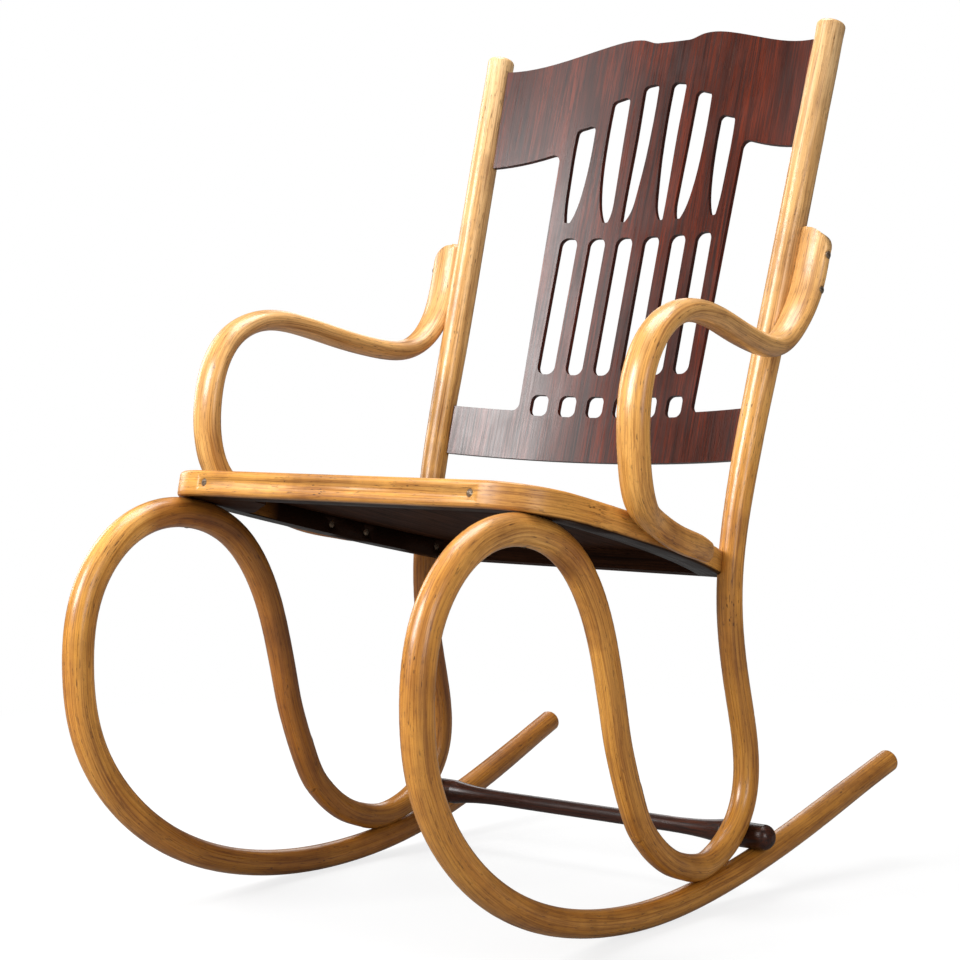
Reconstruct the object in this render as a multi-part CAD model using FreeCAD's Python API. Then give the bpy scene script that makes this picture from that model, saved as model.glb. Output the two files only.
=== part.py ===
import FreeCAD, Part
import os
from math import sin, cos, radians, sqrt

os.makedirs("parts", exist_ok=True)

V = FreeCAD.Vector

# Driving dimensions in millimetres and degrees. The sitter faces -Y and +X is the sitter's left.

# side frames
frame_half = 235.0          # rocker centre from the middle of the chair
tail_splay = 23.0           # how far the rocker's tail spreads beyond that
loop_r = 16.5               # rod radius in the front loop
rocker_r = 14.75            # rod radius on the floor and in the tail
bend_r = 14.5               # rod radius in the rear bend and leg
post_r = 16.5               # rod radius in the back post
let_in = 1.5                # how deep one rod is let into the next
end_length = 8.0            # turned end of a rod, with its rounded edge
end_round = 4.5
scarf_y = -12.0             # where the glued scarf crosses the inner leg
scarf_z = 124.0
scarf_lean = 5.0            # the scarf's face leans this far from upright
bend_y = 122.0              # where the rear bend rests on the rocker

# back
post_lean = 16.7            # the posts lean this far behind upright
post_foot_half = frame_half - 10.0    # post centre from the middle, just above the seat
post_foot_y = 203.0
post_foot_z = 473.0
post_length = 517.0         # straight post above its foot
post_splay = 15.0           # how far each post spreads along that length
panel_t = 6.0
panel_bow = 34.0            # the panel bows this far behind the line of the posts
groove = 8.0                # how deep the panel sits in each post

# openings and outline of the back panel, measured up the posts from their foot
panel_low_edge = 14.5
rail_top = 74.0
splat_low_half = 126.0
splat_high_half = 133.0
splat_fillet = 9.0
crest_low_mid = 403.0
crest_low_end = 379.5
crest_end = 506.0
crest_shoulder = 546.0
crest_dip = 540.0
slot_pitch = 39.5
slot_w = 24.0
slot_top = 293.0
slot_low = 121.0
window_top = 95.0
window_low = 69.0
window_r = 8.0
opening_top_r = 6.5
opening_foot_r = 2.2

# seat
seat_tilt = 13.1
seat_front_y = -222.0
front_straight = frame_half - 39.0    # half the straight part of the front rail
corner_r = 70.0
corner_turn = 86.0          # how far the rail turns round each front corner
belly_half = frame_half + 28.0        # half width where the side rail bulges
belly_back = 212.0          # that place behind the front rail, along the seat
rear_half = frame_half - 25.0         # half width at the end of the side rail
rear_back = 426.0
rear_rail_w = 24.0
block_along = 105.0         # corner block along the front rail and along the side rail
block_back = 50.0           # its depth behind the front of the seat
rail_h = 27.0
rail_w = 32.0
rail_round = 4.0            # rounded outer edges of the rail
seat_t = 6.0
rebate = 8.0

# arms
arm_half = frame_half + 63.0          # centre of the arm's upright front part from the middle
arm_w = 37.0                # across the chair
arm_t = 24.0                # through the bend
arm_foot_w = 20.0           # where the arm lies along the seat rail
arm_foot_h = 28.0
paddle_w = 42.0             # the flat end that stands beside the post
paddle_t = 21.0
paddle_round = 30.0         # its rounded outer corner
arm_let_in = 3.0            # how deep the arm is coved round the post

# stretcher
stretcher_end = frame_half + 29.0     # half its length
shaft_r = 9.0
bulb_r = 14.5
button_r = 4.0              # flat left at each end by the lathe centre

# screws
tail_screw_lean = 14.0      # the screw under the tail leans this far forward of upright
screw_r = 2.2
head_r = 4.5
head_t = 2.6

lean = radians(post_lean)
tilt = radians(seat_tilt)


# helpers

def spline(points):
    curve = Part.BSplineCurve()
    curve.interpolate([V(*p) for p in points])
    return curve


def read(table, share):
    for (s0, v0), (s1, v1) in zip(table, table[1:]):
        if share <= s1:
            part = (share - s0) / (s1 - s0)
            return v0 + (v1 - v0) * part * part * (3 - 2 * part)
    return table[-1][1]


def axes_at(origin, side, up, out):
    return FreeCAD.Placement(FreeCAD.Matrix(side.x, up.x, out.x, origin.x, side.y, up.y, out.y, origin.y,
                                            side.z, up.z, out.z, origin.z, 0, 0, 0, 1))


def oval(centre, along, half_side, half_face):
    # a cross-section with half_side across the chair and half_face in the plane of the bend
    side = V(1, 0, 0)
    side = (side - along * side.dot(along)).normalize()
    up = along.cross(side)
    if half_side > half_face + 0.01:
        edge = Part.Ellipse(V(0, 0, 0), half_side, half_face).toShape()
        place = axes_at(centre, side, up, along)
    elif half_face > half_side + 0.01:
        edge = Part.Ellipse(V(0, 0, 0), half_face, half_side).toShape()
        place = axes_at(centre, up, side * -1, along)
    else:
        edge = Part.Circle(V(0, 0, 0), V(0, 0, 1), half_side).toShape()
        place = axes_at(centre, side, up, along)
    edge.Placement = place
    return Part.Wire(edge)


def bent_rod(route, sides, faces, rings):
    curve = spline(route)
    first = curve.FirstParameter
    span = curve.LastParameter - first
    sections = []
    for i in range(rings + 1):
        share = i / rings
        u = first + span * share
        sections.append(oval(curve.value(u), curve.tangent(u)[0], read(sides, share), read(faces, share)))
    return Part.makeLoft(sections, True, False)


def round_rod(route, radii, rings):
    return bent_rod(route, radii, radii, rings)


def turned_end(point, along, radius):
    stub = Part.makeCylinder(radius, end_length)
    stub = stub.makeFillet(end_round, [e for e in stub.Edges if e.BoundBox.ZMin > end_length - 0.1])
    side = V(0, 0, 1).cross(along).normalize()
    return placed(stub, axes_at(point, side, along.cross(side), along))


def mirrored(shape):
    return shape.mirror(V(0, 0, 0), V(1, 0, 0))


def placed(shape, place):
    moved = shape.copy()
    moved.Placement = place.multiply(shape.Placement)
    return moved


def cylinder(start, along, radius, length):
    return Part.makeCylinder(radius, length, start, along)


def export(name, shape):
    moved = shape.copy()
    moved.translate(V(0, -middle_y, 0))
    moved.exportStep("parts/" + name + ".step")


def pair(name, shape):
    export("left_" + name, shape)
    export("right_" + name, mirrored(shape))


# seat plane: the loops carry the seat where they run parallel to it

loop_top = V(frame_half, -195.0, 430.5)
seat_up = V(0, sin(tilt), cos(tilt))
seat_back = V(0, cos(tilt), -sin(tilt))
seat_on_loop = loop_top + seat_up * (loop_r - let_in / 2)


def on_seat(x, back, up=0.0):
    # a point from its place in the seat: across, back from the front rail, and above the underside
    run = (seat_front_y - seat_on_loop.y) / seat_back.y
    origin = seat_on_loop + seat_back * run
    return V(x, origin.y, origin.z) + seat_back * back + seat_up * up


seat_place = axes_at(on_seat(0, 0), V(1, 0, 0), seat_back, seat_up)


# rocker with its front loop and inner leg

contact = (frame_half, 20.0, rocker_r)
rocker_route = [
    (frame_half + tail_splay, 472.0, 117.0),
    (frame_half + tail_splay * 0.65, 387.0, 89.0),
    (frame_half + tail_splay * 0.26, 272.0, 53.0),
    (frame_half, 156.0, 26.5),
    contact,
    (frame_half, -95.0, 25.0),
    (frame_half, -205.0, 59.5),
    (frame_half, -297.0, 126.0),
    (frame_half, -343.0, 201.0),
    (frame_half, -353.5, 273.0),
    (frame_half, -339.0, 353.0),
    (frame_half, -290.0, 411.0),
    (frame_half, -242.0, 430.0),
    tuple(loop_top),
    (frame_half, -135.0, 408.0),
    (frame_half, -87.0, 351.0),
    (frame_half, -60.0, 275.0),
    (frame_half, -41.0, 197.0),
    (frame_half, scarf_y, scarf_z),
    (frame_half, 14.0, 90.5),
    (frame_half, 47.0, 66.0),
]
rocker_radii = [(0.0, rocker_r * 0.93), (0.1, rocker_r), (0.34, rocker_r), (0.5, loop_r), (0.74, loop_r),
                (0.86, rocker_r), (1.0, bend_r)]
rocker_full = round_rod(rocker_route, rocker_radii, 40)
tail_tip = spline(rocker_route)
tail_along = tail_tip.tangent(tail_tip.FirstParameter)[0] * -1
rocker_full = rocker_full.fuse(turned_end(V(*rocker_route[0]), tail_along, rocker_radii[0][1]))

# rear bend, leg and back post

post_up = V(post_splay / post_length, sin(lean), cos(lean)).normalize()
post_foot = V(post_foot_half, post_foot_y, post_foot_z)


def on_post(run):
    return post_foot + post_up * run


rocker_line = spline(rocker_route[:7])
bend_under = rocker_line.value(rocker_line.parameter(V(frame_half, bend_y, rocker_r + 7.0)))
bend_dir = rocker_line.tangent(rocker_line.parameter(bend_under))[0]
bend_rise = V(0, -abs(bend_dir.z), abs(bend_dir.y))
bend_low = bend_under + bend_rise * (rocker_r + bend_r - let_in)
post_route = [
    (frame_half, -41.0, 197.0),
    (frame_half, scarf_y, scarf_z),
    (frame_half, 14.0, 90.5),
    (frame_half, 47.0, 66.0),
    (frame_half - 1.0, 82.0, 53.0),
    tuple(bend_low),
    (frame_half - 4.0, 158.0, 61.5),
    (frame_half - 6.0, 192.0, 87.0),
    (frame_half - 8.0, 209.5, 121.0),
    (frame_half - 9.5, 212.5, 160.0),
    (frame_half - 10.5, 205.5, 199.0),
    (frame_half - 12.0, 187.0, 278.0),
    (frame_half - 12.5, 181.5, 348.0),
    (post_foot_half - 2.0, 187.5, 402.0),
    tuple(post_foot),
    tuple(on_post(150.0)),
    tuple(on_post(340.0)),
    tuple(on_post(post_length)),
]
post_radii = [(0.0, bend_r), (0.5, bend_r), (0.62, post_r - 0.8), (0.7, post_r), (1.0, post_r)]
post_full = round_rod(post_route, post_radii, 32)
post_full = post_full.fuse(turned_end(on_post(post_length), post_up, post_r))

# the two rods meet on a slanted glued face across the inner leg
scarf_up = V(0, -sin(radians(scarf_lean)), cos(radians(scarf_lean)))
scarf_rear = V(0, cos(radians(scarf_lean)), sin(radians(scarf_lean)))
scarf_low = V(frame_half, scarf_y, scarf_z) - scarf_up * 85
behind_scarf = Part.makeBox(60, 90, 200)
behind_scarf.Placement = axes_at(scarf_low - V(30, 0, 0), V(1, 0, 0), scarf_rear, scarf_up)
before_scarf = Part.makeBox(60, 90, 200)
before_scarf.Placement = axes_at(scarf_low - V(30, 0, 0) - scarf_rear * 90, V(1, 0, 0), scarf_rear,
                                 scarf_up)

rocker = rocker_full.cut(behind_scarf)
back_post = post_full.cut(before_scarf).cut(rocker)


# seat: a bent rail, open at the back, with a straight rear rail and a panel let into its top

def circle_through(a, b, c):
    d = 2 * (a[0] * (b[1] - c[1]) + b[0] * (c[1] - a[1]) + c[0] * (a[1] - b[1]))
    a2 = a[0] ** 2 + a[1] ** 2
    b2 = b[0] ** 2 + b[1] ** 2
    c2 = c[0] ** 2 + c[1] ** 2
    x = (a2 * (b[1] - c[1]) + b2 * (c[1] - a[1]) + c2 * (a[1] - b[1])) / d
    y = (a2 * (c[0] - b[0]) + b2 * (a[0] - c[0]) + c2 * (b[0] - a[0])) / d
    return x, y, sqrt((a[0] - x) ** 2 + (a[1] - y) ** 2)


turn = radians(corner_turn)
corner_end = (front_straight + corner_r * sin(turn), corner_r * (1 - cos(turn)))
side_x, side_y, side_r = circle_through(corner_end, (belly_half, belly_back), (rear_half, rear_back))


def rail_outer(back, inset=0.0):
    return side_x + sqrt((side_r - inset) ** 2 - (back - side_y) ** 2)


def seat_face(inset, end):
    # the seat's outline, drawn in by inset and closed straight across at end
    r = corner_r - inset
    sweep = [radians(90.0 - corner_turn / 2), radians(90.0 - corner_turn)]
    mid = V(front_straight + r * cos(sweep[0]), corner_r - r * sin(sweep[0]), 0)
    tip = V(rail_outer(corner_end[1], inset), corner_end[1], 0)
    start = V(front_straight, inset, 0)
    middle = V(rail_outer(belly_back, inset), belly_back, 0)
    last = V(rail_outer(end, inset), end, 0)

    def flip(p):
        return V(-p.x, p.y, 0)

    edges = [
        Part.makeLine(flip(start), start),
        Part.Arc(start, mid, tip).toShape(),
        Part.Arc(tip, middle, last).toShape(),
        Part.makeLine(last, flip(last)),
        Part.Arc(flip(last), flip(middle), flip(tip)).toShape(),
        Part.Arc(flip(tip), flip(mid), flip(start)).toShape(),
    ]
    return Part.Face(Part.Wire(edges))


def seat_slab(inset, end, low, high):
    slab = seat_face(inset, end).extrude(V(0, 0, high - low))
    slab.translate(V(0, 0, low))
    return slab


def round_outside(slab):
    edges = []
    for e in slab.Edges:
        level = e.BoundBox.ZLength < 0.01
        closing = e.BoundBox.YMin > rear_back - 0.01
        if level and not closing:
            edges.append(e)
    return slab.makeFillet(rail_round, edges)


panel_low = rail_h - seat_t
rear_rail_front = rear_back - rear_rail_w
panel_end = rear_rail_front + rebate
seat_panel = seat_slab(rail_w - rebate, panel_end, panel_low, rail_h)
seat_rail = round_outside(seat_slab(0, rear_back, 0, rail_h))
seat_rail = seat_rail.cut(seat_slab(rail_w, rear_back + 20, -1, rail_h + 1))
seat_rail = seat_rail.cut(seat_panel)
rear_band = Part.makeBox(3 * rear_half, rear_rail_w, rail_h, V(-1.5 * rear_half, rear_rail_front, 0))
rear_rail = seat_slab(rail_w, rear_back, 0, rail_h).common(rear_band)
rear_rail = rear_rail.cut(seat_panel)
block_inner = front_straight - block_along * 0.55
block_outer = front_straight + corner_r + 20
block_top = Part.makePolygon([
    V(block_inner, 0, 0),
    V(block_outer, 0, 0),
    V(block_outer, block_along + rail_w, 0),
    V(front_straight + 20, block_along + rail_w * 0.2, 0),
    V(block_inner, block_back, 0),
    V(block_inner, 0, 0),
])
corner_block = Part.Face(block_top).extrude(V(0, 0, panel_low))
corner_block = corner_block.common(seat_slab(rail_w, rear_back, 0, panel_low))

seat_panel = placed(seat_panel, seat_place)
seat_rail = placed(seat_rail, seat_place)
rear_rail = placed(rear_rail, seat_place)
corner_block = placed(corner_block, seat_place)
seat_solid = placed(seat_slab(0, rear_back, 0, rail_h), seat_place)
rocker = rocker.cut(seat_solid)
seat_rail = seat_rail.cut(back_post).cut(mirrored(back_post))


# back panel: one bowed sheet, set in a groove of each post

panel_out = V(0, cos(lean), -sin(lean))
panel_up = V(0, sin(lean), cos(lean))
panel_foot = V(0, post_foot_y, post_foot_z)
bow_r = (post_foot_half ** 2 + panel_bow ** 2) / (2 * panel_bow)


def post_half(up):
    return post_foot_half + post_splay * up / post_length


def edge_half(up):
    return post_half(up) - post_r + groove


def curve_edge(points):
    return spline([(x, y, 0.0) for x, y in points]).toShape()


crest_half = edge_half(crest_end)
low_half = edge_half(crest_low_end)
crest_right = [
    (crest_half, crest_end),
    (171.0, crest_end + 10),
    (125.0, crest_end + 24),
    (87.0, crest_end + 35),
    (52.0, crest_shoulder),
    (40.0, crest_shoulder - 1.5),
    (30.0, crest_dip + 1.2),
    (20.0, crest_dip),
]
crest_left = [(-x, y) for x, y in reversed(crest_right)]
under_right = [
    (splat_high_half, crest_low_mid),
    (splat_high_half + 24, crest_low_mid - 8),
    (188.0, crest_low_end + 7),
    (low_half, crest_low_end),
]
under_left = [(-x, y) for x, y in reversed(under_right)]
foot_half = edge_half(panel_low_edge)
rail_half = edge_half(rail_top)
outline = Part.Wire([
    Part.makeLine(V(-foot_half, panel_low_edge, 0), V(foot_half, panel_low_edge, 0)),
    Part.makeLine(V(foot_half, panel_low_edge, 0), V(rail_half, rail_top, 0)),
    Part.makeLine(V(rail_half, rail_top, 0), V(splat_low_half, rail_top, 0)),
    Part.makeLine(V(splat_low_half, rail_top, 0), V(splat_high_half, crest_low_mid, 0)),
    curve_edge(under_right),
    Part.makeLine(V(low_half, crest_low_end, 0), V(crest_half, crest_end, 0)),
    curve_edge(crest_right),
    Part.makeLine(V(20.0, crest_dip, 0), V(-20.0, crest_dip, 0)),
    curve_edge(crest_left),
    Part.makeLine(V(-crest_half, crest_end, 0), V(-low_half, crest_low_end, 0)),
    curve_edge(under_left),
    Part.makeLine(V(-splat_high_half, crest_low_mid, 0), V(-splat_low_half, rail_top, 0)),
    Part.makeLine(V(-splat_low_half, rail_top, 0), V(-rail_half, rail_top, 0)),
    Part.makeLine(V(-rail_half, rail_top, 0), V(-foot_half, panel_low_edge, 0)),
])
board = Part.Face(outline).extrude(V(0, 0, 80))
inner_corners = [e for e in board.Edges if e.BoundBox.ZLength > 79 and (
    abs(abs(e.CenterOfMass.x) - splat_low_half) < 0.1 and abs(e.CenterOfMass.y - rail_top) < 0.1
    or abs(abs(e.CenterOfMass.x) - splat_high_half) < 0.1 and abs(e.CenterOfMass.y - crest_low_mid) < 0.1)]
board = board.makeFillet(splat_fillet, inner_corners)

# the six tall openings come in three shapes: the inner side from its foot up, then the outer side down
tall_openings = [
    ([(25.0, 312.5), (19.2, 322.0), (14.2, 348.0), (10.8, 385.0), (9.4, 416.0), (8.8, 450.0), (9.6, 487.5)],
     [(31.2, 484.5), (30.8, 455.0), (30.2, 423.0), (30.4, 391.0), (31.0, 350.0), (30.6, 312.5)]),
    ([(49.5, 312.5), (46.6, 322.0), (45.6, 345.0), (46.4, 380.0), (47.4, 417.0), (48, 455), (48.6, 474)],
     [(72.6, 467.0), (73.2, 441.0), (72.9, 410.0), (71.6, 380.0), (67.5, 345), (60.5, 320), (56.5, 312.5)]),
    ([(103.0, 312.5), (98.6, 323.0), (93.4, 348.0), (90.8, 377.0), (90.0, 408.0), (90.6, 438.5)],
     [(115.4, 431.5), (116.2, 410.0), (116.0, 390.0), (115.0, 362.0), (113.4, 331.0), (110.5, 312.5)]),
]


def rounded_slot(x, low, high, width, r):
    box = Part.makeBox(width, high - low, 80, V(x - width / 2, low, 0))
    return box.makeFillet(r, [e for e in box.Edges if e.BoundBox.ZLength > 79])


def tall_opening(inner, outer, sign):
    inner = [(sign * x, y) for x, y in inner]
    outer = [(sign * x, y) for x, y in outer]
    wire = Part.Wire([
        curve_edge(inner),
        Part.makeLine(V(*inner[-1], 0), V(*outer[0], 0)),
        curve_edge(outer),
        Part.makeLine(V(*outer[-1], 0), V(*inner[0], 0)),
    ])
    prism = Part.Face(wire).extrude(V(0, 0, 80))
    upright = [e for e in prism.Edges if e.BoundBox.ZLength > 79]
    prism = prism.makeFillet(opening_top_r, [e for e in upright if e.CenterOfMass.y > slot_top + 60])
    upright = [e for e in prism.Edges if e.BoundBox.ZLength > 79 and e.CenterOfMass.y < slot_top + 21]
    return prism.makeFillet(opening_foot_r, upright)


holes = []
for i in range(3):
    across = slot_pitch * (i + 0.5)
    for sign in (-1, 1):
        holes.append(rounded_slot(sign * across, slot_low, slot_top, slot_w, slot_w * 0.42))
        holes.append(rounded_slot(sign * across, window_low, window_top, slot_w, window_r))
        holes.append(tall_opening(*tall_openings[i], sign))
board = board.cut(Part.makeCompound(holes))
board = placed(board, axes_at(panel_foot + panel_out * 50, V(1, 0, 0), panel_up, panel_out * -1))
bow_axis = panel_foot + panel_out * (panel_bow - bow_r) - panel_up * 50
sheet = cylinder(bow_axis, panel_up, bow_r + panel_t / 2, post_length + 100)
sheet = sheet.cut(cylinder(bow_axis, panel_up, bow_r - panel_t / 2, post_length + 100))
back_panel = board.common(sheet)
back_post = back_post.cut(back_panel)


# arms: flat-oval rods, screwed along the seat rail and up the outer side of each post

def beside_rail(back, up):
    x = rail_outer(back) + arm_foot_w / 2 - 0.6
    return on_seat(x, back, up)


def beside_post(run, across, behind):
    return on_post(run) + V(across, behind, 0)


post_side = post_r + paddle_w / 2 - arm_let_in
paddle_end = 280.0
arm_route = [
    tuple(beside_rail(322.0, rail_h / 2)),
    tuple(beside_rail(279.0, rail_h / 2)),
    tuple(beside_rail(232.0, rail_h / 2 + 1.0)),
    tuple(beside_rail(187.0, rail_h / 2 + 8.0)),
    (arm_half - 6.0, -88.0, 461.0),
    (arm_half, -105.0, 510.0),
    (arm_half, -104.0, 552.0),
    (arm_half, -93.0, 590.0),
    (arm_half, -65.0, 625.0),
    (arm_half - 2.0, -20.0, 643.0),
    (arm_half - 6.0, 35.0, 640.0),
    (arm_half - 14.0, 95.0, 625.5),
    (arm_half - 23.0, 155.0, 613.5),
    (arm_half - 31.0, 205.0, 614.0),
    tuple(beside_post(172.0, post_side, -12.0)),
    tuple(beside_post(205.0, post_side, 0.0)),
    tuple(beside_post(245.0, post_side, 2.0)),
    tuple(beside_post(paddle_end, post_side, 2.0)),
]
arm_sides = [
    (0.0, arm_foot_w * 0.3),
    (0.05, arm_foot_w * 0.5),
    (0.14, arm_foot_w * 0.55),
    (0.26, arm_w * 0.48),
    (0.4, arm_w / 2),
    (0.8, arm_w / 2),
    (0.92, paddle_w / 2),
    (1.0, paddle_w / 2),
]
arm_faces = [
    (0.0, arm_foot_h * 0.4),
    (0.05, arm_foot_h / 2),
    (0.16, arm_foot_h / 2),
    (0.3, arm_t * 0.55),
    (0.45, arm_t / 2),
    (0.8, arm_t / 2),
    (0.92, paddle_t / 2),
    (1.0, paddle_t / 2),
]
arm = bent_rod(arm_route, arm_sides, arm_faces, 30)
corner = Part.makeBox(paddle_round + 10, paddle_round + 10, 80)
corner = corner.cut(Part.makeCylinder(paddle_round, 80))
corner_across = post_side + paddle_w / 2 - paddle_round
corner_at = beside_post(paddle_end - paddle_round, corner_across, 0.0) + panel_out * 40
arm = arm.cut(placed(corner, axes_at(corner_at, V(1, 0, 0), panel_up, panel_out * -1)))
arm = arm.cut(seat_solid).cut(back_post)
arm = max(arm.Solids, key=lambda solid: solid.Volume)


# stretcher: a turned rod resting in the fork of the rear bend and the tail

tail_line = spline(rocker_route[:7]).toShape()
leg_line = spline(post_route[3:12]).toShape()
post_line = spline(post_route[10:])


def gap_at(y, z):
    spot = Part.Vertex(frame_half, y, z)
    over_tail = spot.distToShape(tail_line)[0] - rocker_r - bulb_r
    off_leg = spot.distToShape(leg_line)[0] - bend_r - bulb_r
    return over_tail, off_leg


stretcher_y = 205.0
stretcher_z = 75.0
for _ in range(60):
    over_tail, off_leg = gap_at(stretcher_y, stretcher_z)
    stretcher_z = stretcher_z - (over_tail + let_in / 2) * 0.7
    stretcher_y = stretcher_y - (off_leg + let_in / 2) * 0.7
stretcher_mid = V(0, stretcher_y, stretcher_z)

bulb_from = frame_half - 36.0
dome_from = stretcher_end - bulb_r * 0.75
half_line = [(frame_half * 0.45, shaft_r), (frame_half * 0.68, shaft_r + 1.0), (bulb_from, bulb_r)]
full_line = [(-x, r) for x, r in reversed(half_line)] + [(0.0, shaft_r)] + half_line


def end_dome(sign):
    start = V(sign * dome_from, bulb_r, 0)
    mid = V(sign * (stretcher_end - bulb_r * 0.2), bulb_r * 0.68, 0)
    return Part.Arc(start, mid, V(sign * stretcher_end, button_r, 0)).toShape()


def end_button(sign):
    return Part.makeLine(V(sign * stretcher_end, button_r, 0), V(sign * stretcher_end, 0, 0))


profile = Part.Wire([
    curve_edge(full_line),
    Part.makeLine(V(bulb_from, bulb_r, 0), V(dome_from, bulb_r, 0)),
    end_dome(1),
    end_button(1),
    Part.makeLine(V(stretcher_end, 0, 0), V(-stretcher_end, 0, 0)),
    end_button(-1),
    end_dome(-1),
    Part.makeLine(V(-dome_from, bulb_r, 0), V(-bulb_from, bulb_r, 0)),
])
stretcher = Part.Face(profile).revolve(V(0, 0, 0), V(1, 0, 0), 360)
stretcher.translate(stretcher_mid)
rocker = rocker.cut(stretcher)
back_post = back_post.cut(stretcher)


# screws: a round slotted head let into the surface, on a plain shank

def screw(surface, inward, length):
    head = Part.makeSphere(head_r * 1.35, surface + inward * (head_r * 1.35 - 0.5))
    head = head.common(cylinder(surface - inward * 1.0, inward, head_r, head_t + 1.0))
    slot = Part.makeBox(2 * head_r, 1.2, 1.4, V(-head_r, -0.6, -0.6))
    side = inward.cross(V(0.3, 0.4, 1.0)).normalize()
    slot = placed(slot, axes_at(surface, side, inward.cross(side), inward))
    shank = cylinder(surface + inward * head_t, inward, screw_r, length - head_t)
    return head.cut(slot).fuse(shank)


def bore(surface, inward, length):
    # the hole that a screw sits in, open above its head
    head = cylinder(surface - inward * 2.0, inward, head_r, head_t + 2.0)
    return head.fuse(cylinder(surface, inward, screw_r, length))


def both(spots):
    shapes = [screw(*spot) for spot in spots]
    return Part.makeCompound(shapes + [mirrored(s) for s in shapes])


loop_screws = [(loop_top - seat_up * (loop_r + 0.2), seat_up, 2 * loop_r + 20)]
bend_screws = [(bend_under - bend_rise * (rocker_r + 0.2), bend_rise, 2 * rocker_r + bend_r)]
tail_dir = V(0, -sin(radians(tail_screw_lean)), cos(radians(tail_screw_lean)))
tail_under = stretcher_mid + V(frame_half, 0, 0) - tail_dir * (bulb_r + 2 * rocker_r - let_in / 2 + 0.2)
stretcher_screws = [(tail_under, tail_dir, 2 * rocker_r + bulb_r * 0.75)]
front_screw_half = front_straight - 11.0
front_screws = [(on_seat(front_screw_half, -0.2, rail_h / 2), seat_back, rail_w + 20)]
arm_foot_screws = []
for back in (248.0, 298.0):
    x = rail_outer(back, rail_w)
    arm_foot_screws.append((on_seat(x - 0.2, back, rail_h * 0.4), V(1, 0, 0), rail_w + arm_foot_w * 0.6))
arm_post_screws = []
for run in (209.0, 249.0):
    edge = beside_post(run, post_side + paddle_w / 2 + 0.2, 1.5)
    arm_post_screws.append((edge, V(-1, 0, 0), paddle_w + post_r))
post_screw_back = rear_rail_front - 9
post_screw_from = on_seat(rail_outer(post_screw_back, rail_w), post_screw_back, rail_h * 0.4)
post_screw_to = post_line.value(post_line.parameter(post_screw_from + V(rail_w, 20, 0)))
post_screw_along = (post_screw_to - post_screw_from).normalize()
post_screw_from = post_screw_from + post_screw_along * 1.5
seat_post_screws = [(post_screw_from, post_screw_along, (post_screw_to - post_screw_from).Length + 4)]


def less(shape, spots, far_side=False):
    for spot in spots:
        hole = bore(*spot)
        shape = shape.cut(hole)
        if far_side:
            shape = shape.cut(mirrored(hole))
    return shape


rocker = less(rocker, loop_screws + bend_screws + stretcher_screws)
back_post = less(back_post, bend_screws + arm_post_screws + seat_post_screws)
arm = less(arm, arm_foot_screws + arm_post_screws)
corner_block = less(corner_block, front_screws + loop_screws)
stretcher = less(stretcher, stretcher_screws, True)
rail_screws = loop_screws + front_screws + arm_foot_screws + seat_post_screws
seat_rail = less(seat_rail, rail_screws, True)

# the rockers reach furthest to the front and the rear, so they centre the chair on the origin
reach = rocker.optimalBoundingBox(False, False)
middle_y = (reach.YMin + reach.YMax) / 2

pair("rocker", rocker)
pair("back_post", back_post)
pair("arm", arm)
pair("corner_block", corner_block)
export("seat_rail", seat_rail)
export("seat_rear_rail", rear_rail)
export("seat_panel", seat_panel)
export("back_panel", back_panel)
export("stretcher", stretcher)
export("loop_screws", both(loop_screws))
export("bend_screws", both(bend_screws))
export("stretcher_screws", both(stretcher_screws))
export("front_rail_screws", both(front_screws))
export("arm_foot_screws", both(arm_foot_screws))
export("arm_post_screws", both(arm_post_screws))
export("seat_post_screws", both(seat_post_screws))
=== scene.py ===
import bpy
import bmesh
from math import radians, sin, cos, sqrt
from mathutils import Vector, Matrix
from mathutils.kdtree import KDTree


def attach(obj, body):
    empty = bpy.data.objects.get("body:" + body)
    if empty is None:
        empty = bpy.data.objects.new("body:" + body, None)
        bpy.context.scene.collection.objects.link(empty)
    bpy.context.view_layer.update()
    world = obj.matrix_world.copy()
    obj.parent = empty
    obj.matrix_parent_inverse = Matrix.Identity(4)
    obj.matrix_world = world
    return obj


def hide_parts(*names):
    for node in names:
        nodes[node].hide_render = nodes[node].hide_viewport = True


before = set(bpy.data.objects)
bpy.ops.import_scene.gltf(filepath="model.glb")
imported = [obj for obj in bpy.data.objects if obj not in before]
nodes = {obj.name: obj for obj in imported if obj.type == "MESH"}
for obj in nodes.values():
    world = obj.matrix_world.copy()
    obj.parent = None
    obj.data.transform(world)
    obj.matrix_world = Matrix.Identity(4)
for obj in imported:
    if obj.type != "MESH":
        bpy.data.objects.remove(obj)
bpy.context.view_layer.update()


print("stage: frame loaded,", len(nodes), "nodes")

scene = bpy.context.scene
scene.view_settings.view_transform = "Standard"


# node trees

def newMaterial(name):
    material = bpy.data.materials.new(name)
    material.use_nodes = True
    tree = material.node_tree
    tree.nodes.clear()
    output = tree.nodes.new("ShaderNodeOutputMaterial")
    surface = tree.nodes.new("ShaderNodeBsdfPrincipled")
    tree.links.new(surface.outputs["BSDF"], output.inputs["Surface"])
    return material, tree, surface


def addNode(tree, kind, **values):
    node = tree.nodes.new("ShaderNode" + kind)
    for key, value in values.items():
        setattr(node, key, value)
    return node


def setInputs(node, **values):
    for key, value in values.items():
        node.inputs[key.replace("_", " ")].default_value = value
    return node


def noiseOf(tree, vector, scale, detail=3.0, rough=0.5, distortion=0.0):
    noise = addNode(tree, "TexNoise")
    setInputs(noise, Scale=scale, Detail=detail, Roughness=rough, Distortion=distortion)
    tree.links.new(vector, noise.inputs["Vector"])
    return noise.outputs["Fac"]


def stretched(tree, vector, scale):
    mapping = addNode(tree, "Mapping")
    mapping.inputs["Scale"].default_value = scale
    tree.links.new(vector, mapping.inputs["Vector"])
    return mapping.outputs["Vector"]


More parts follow.
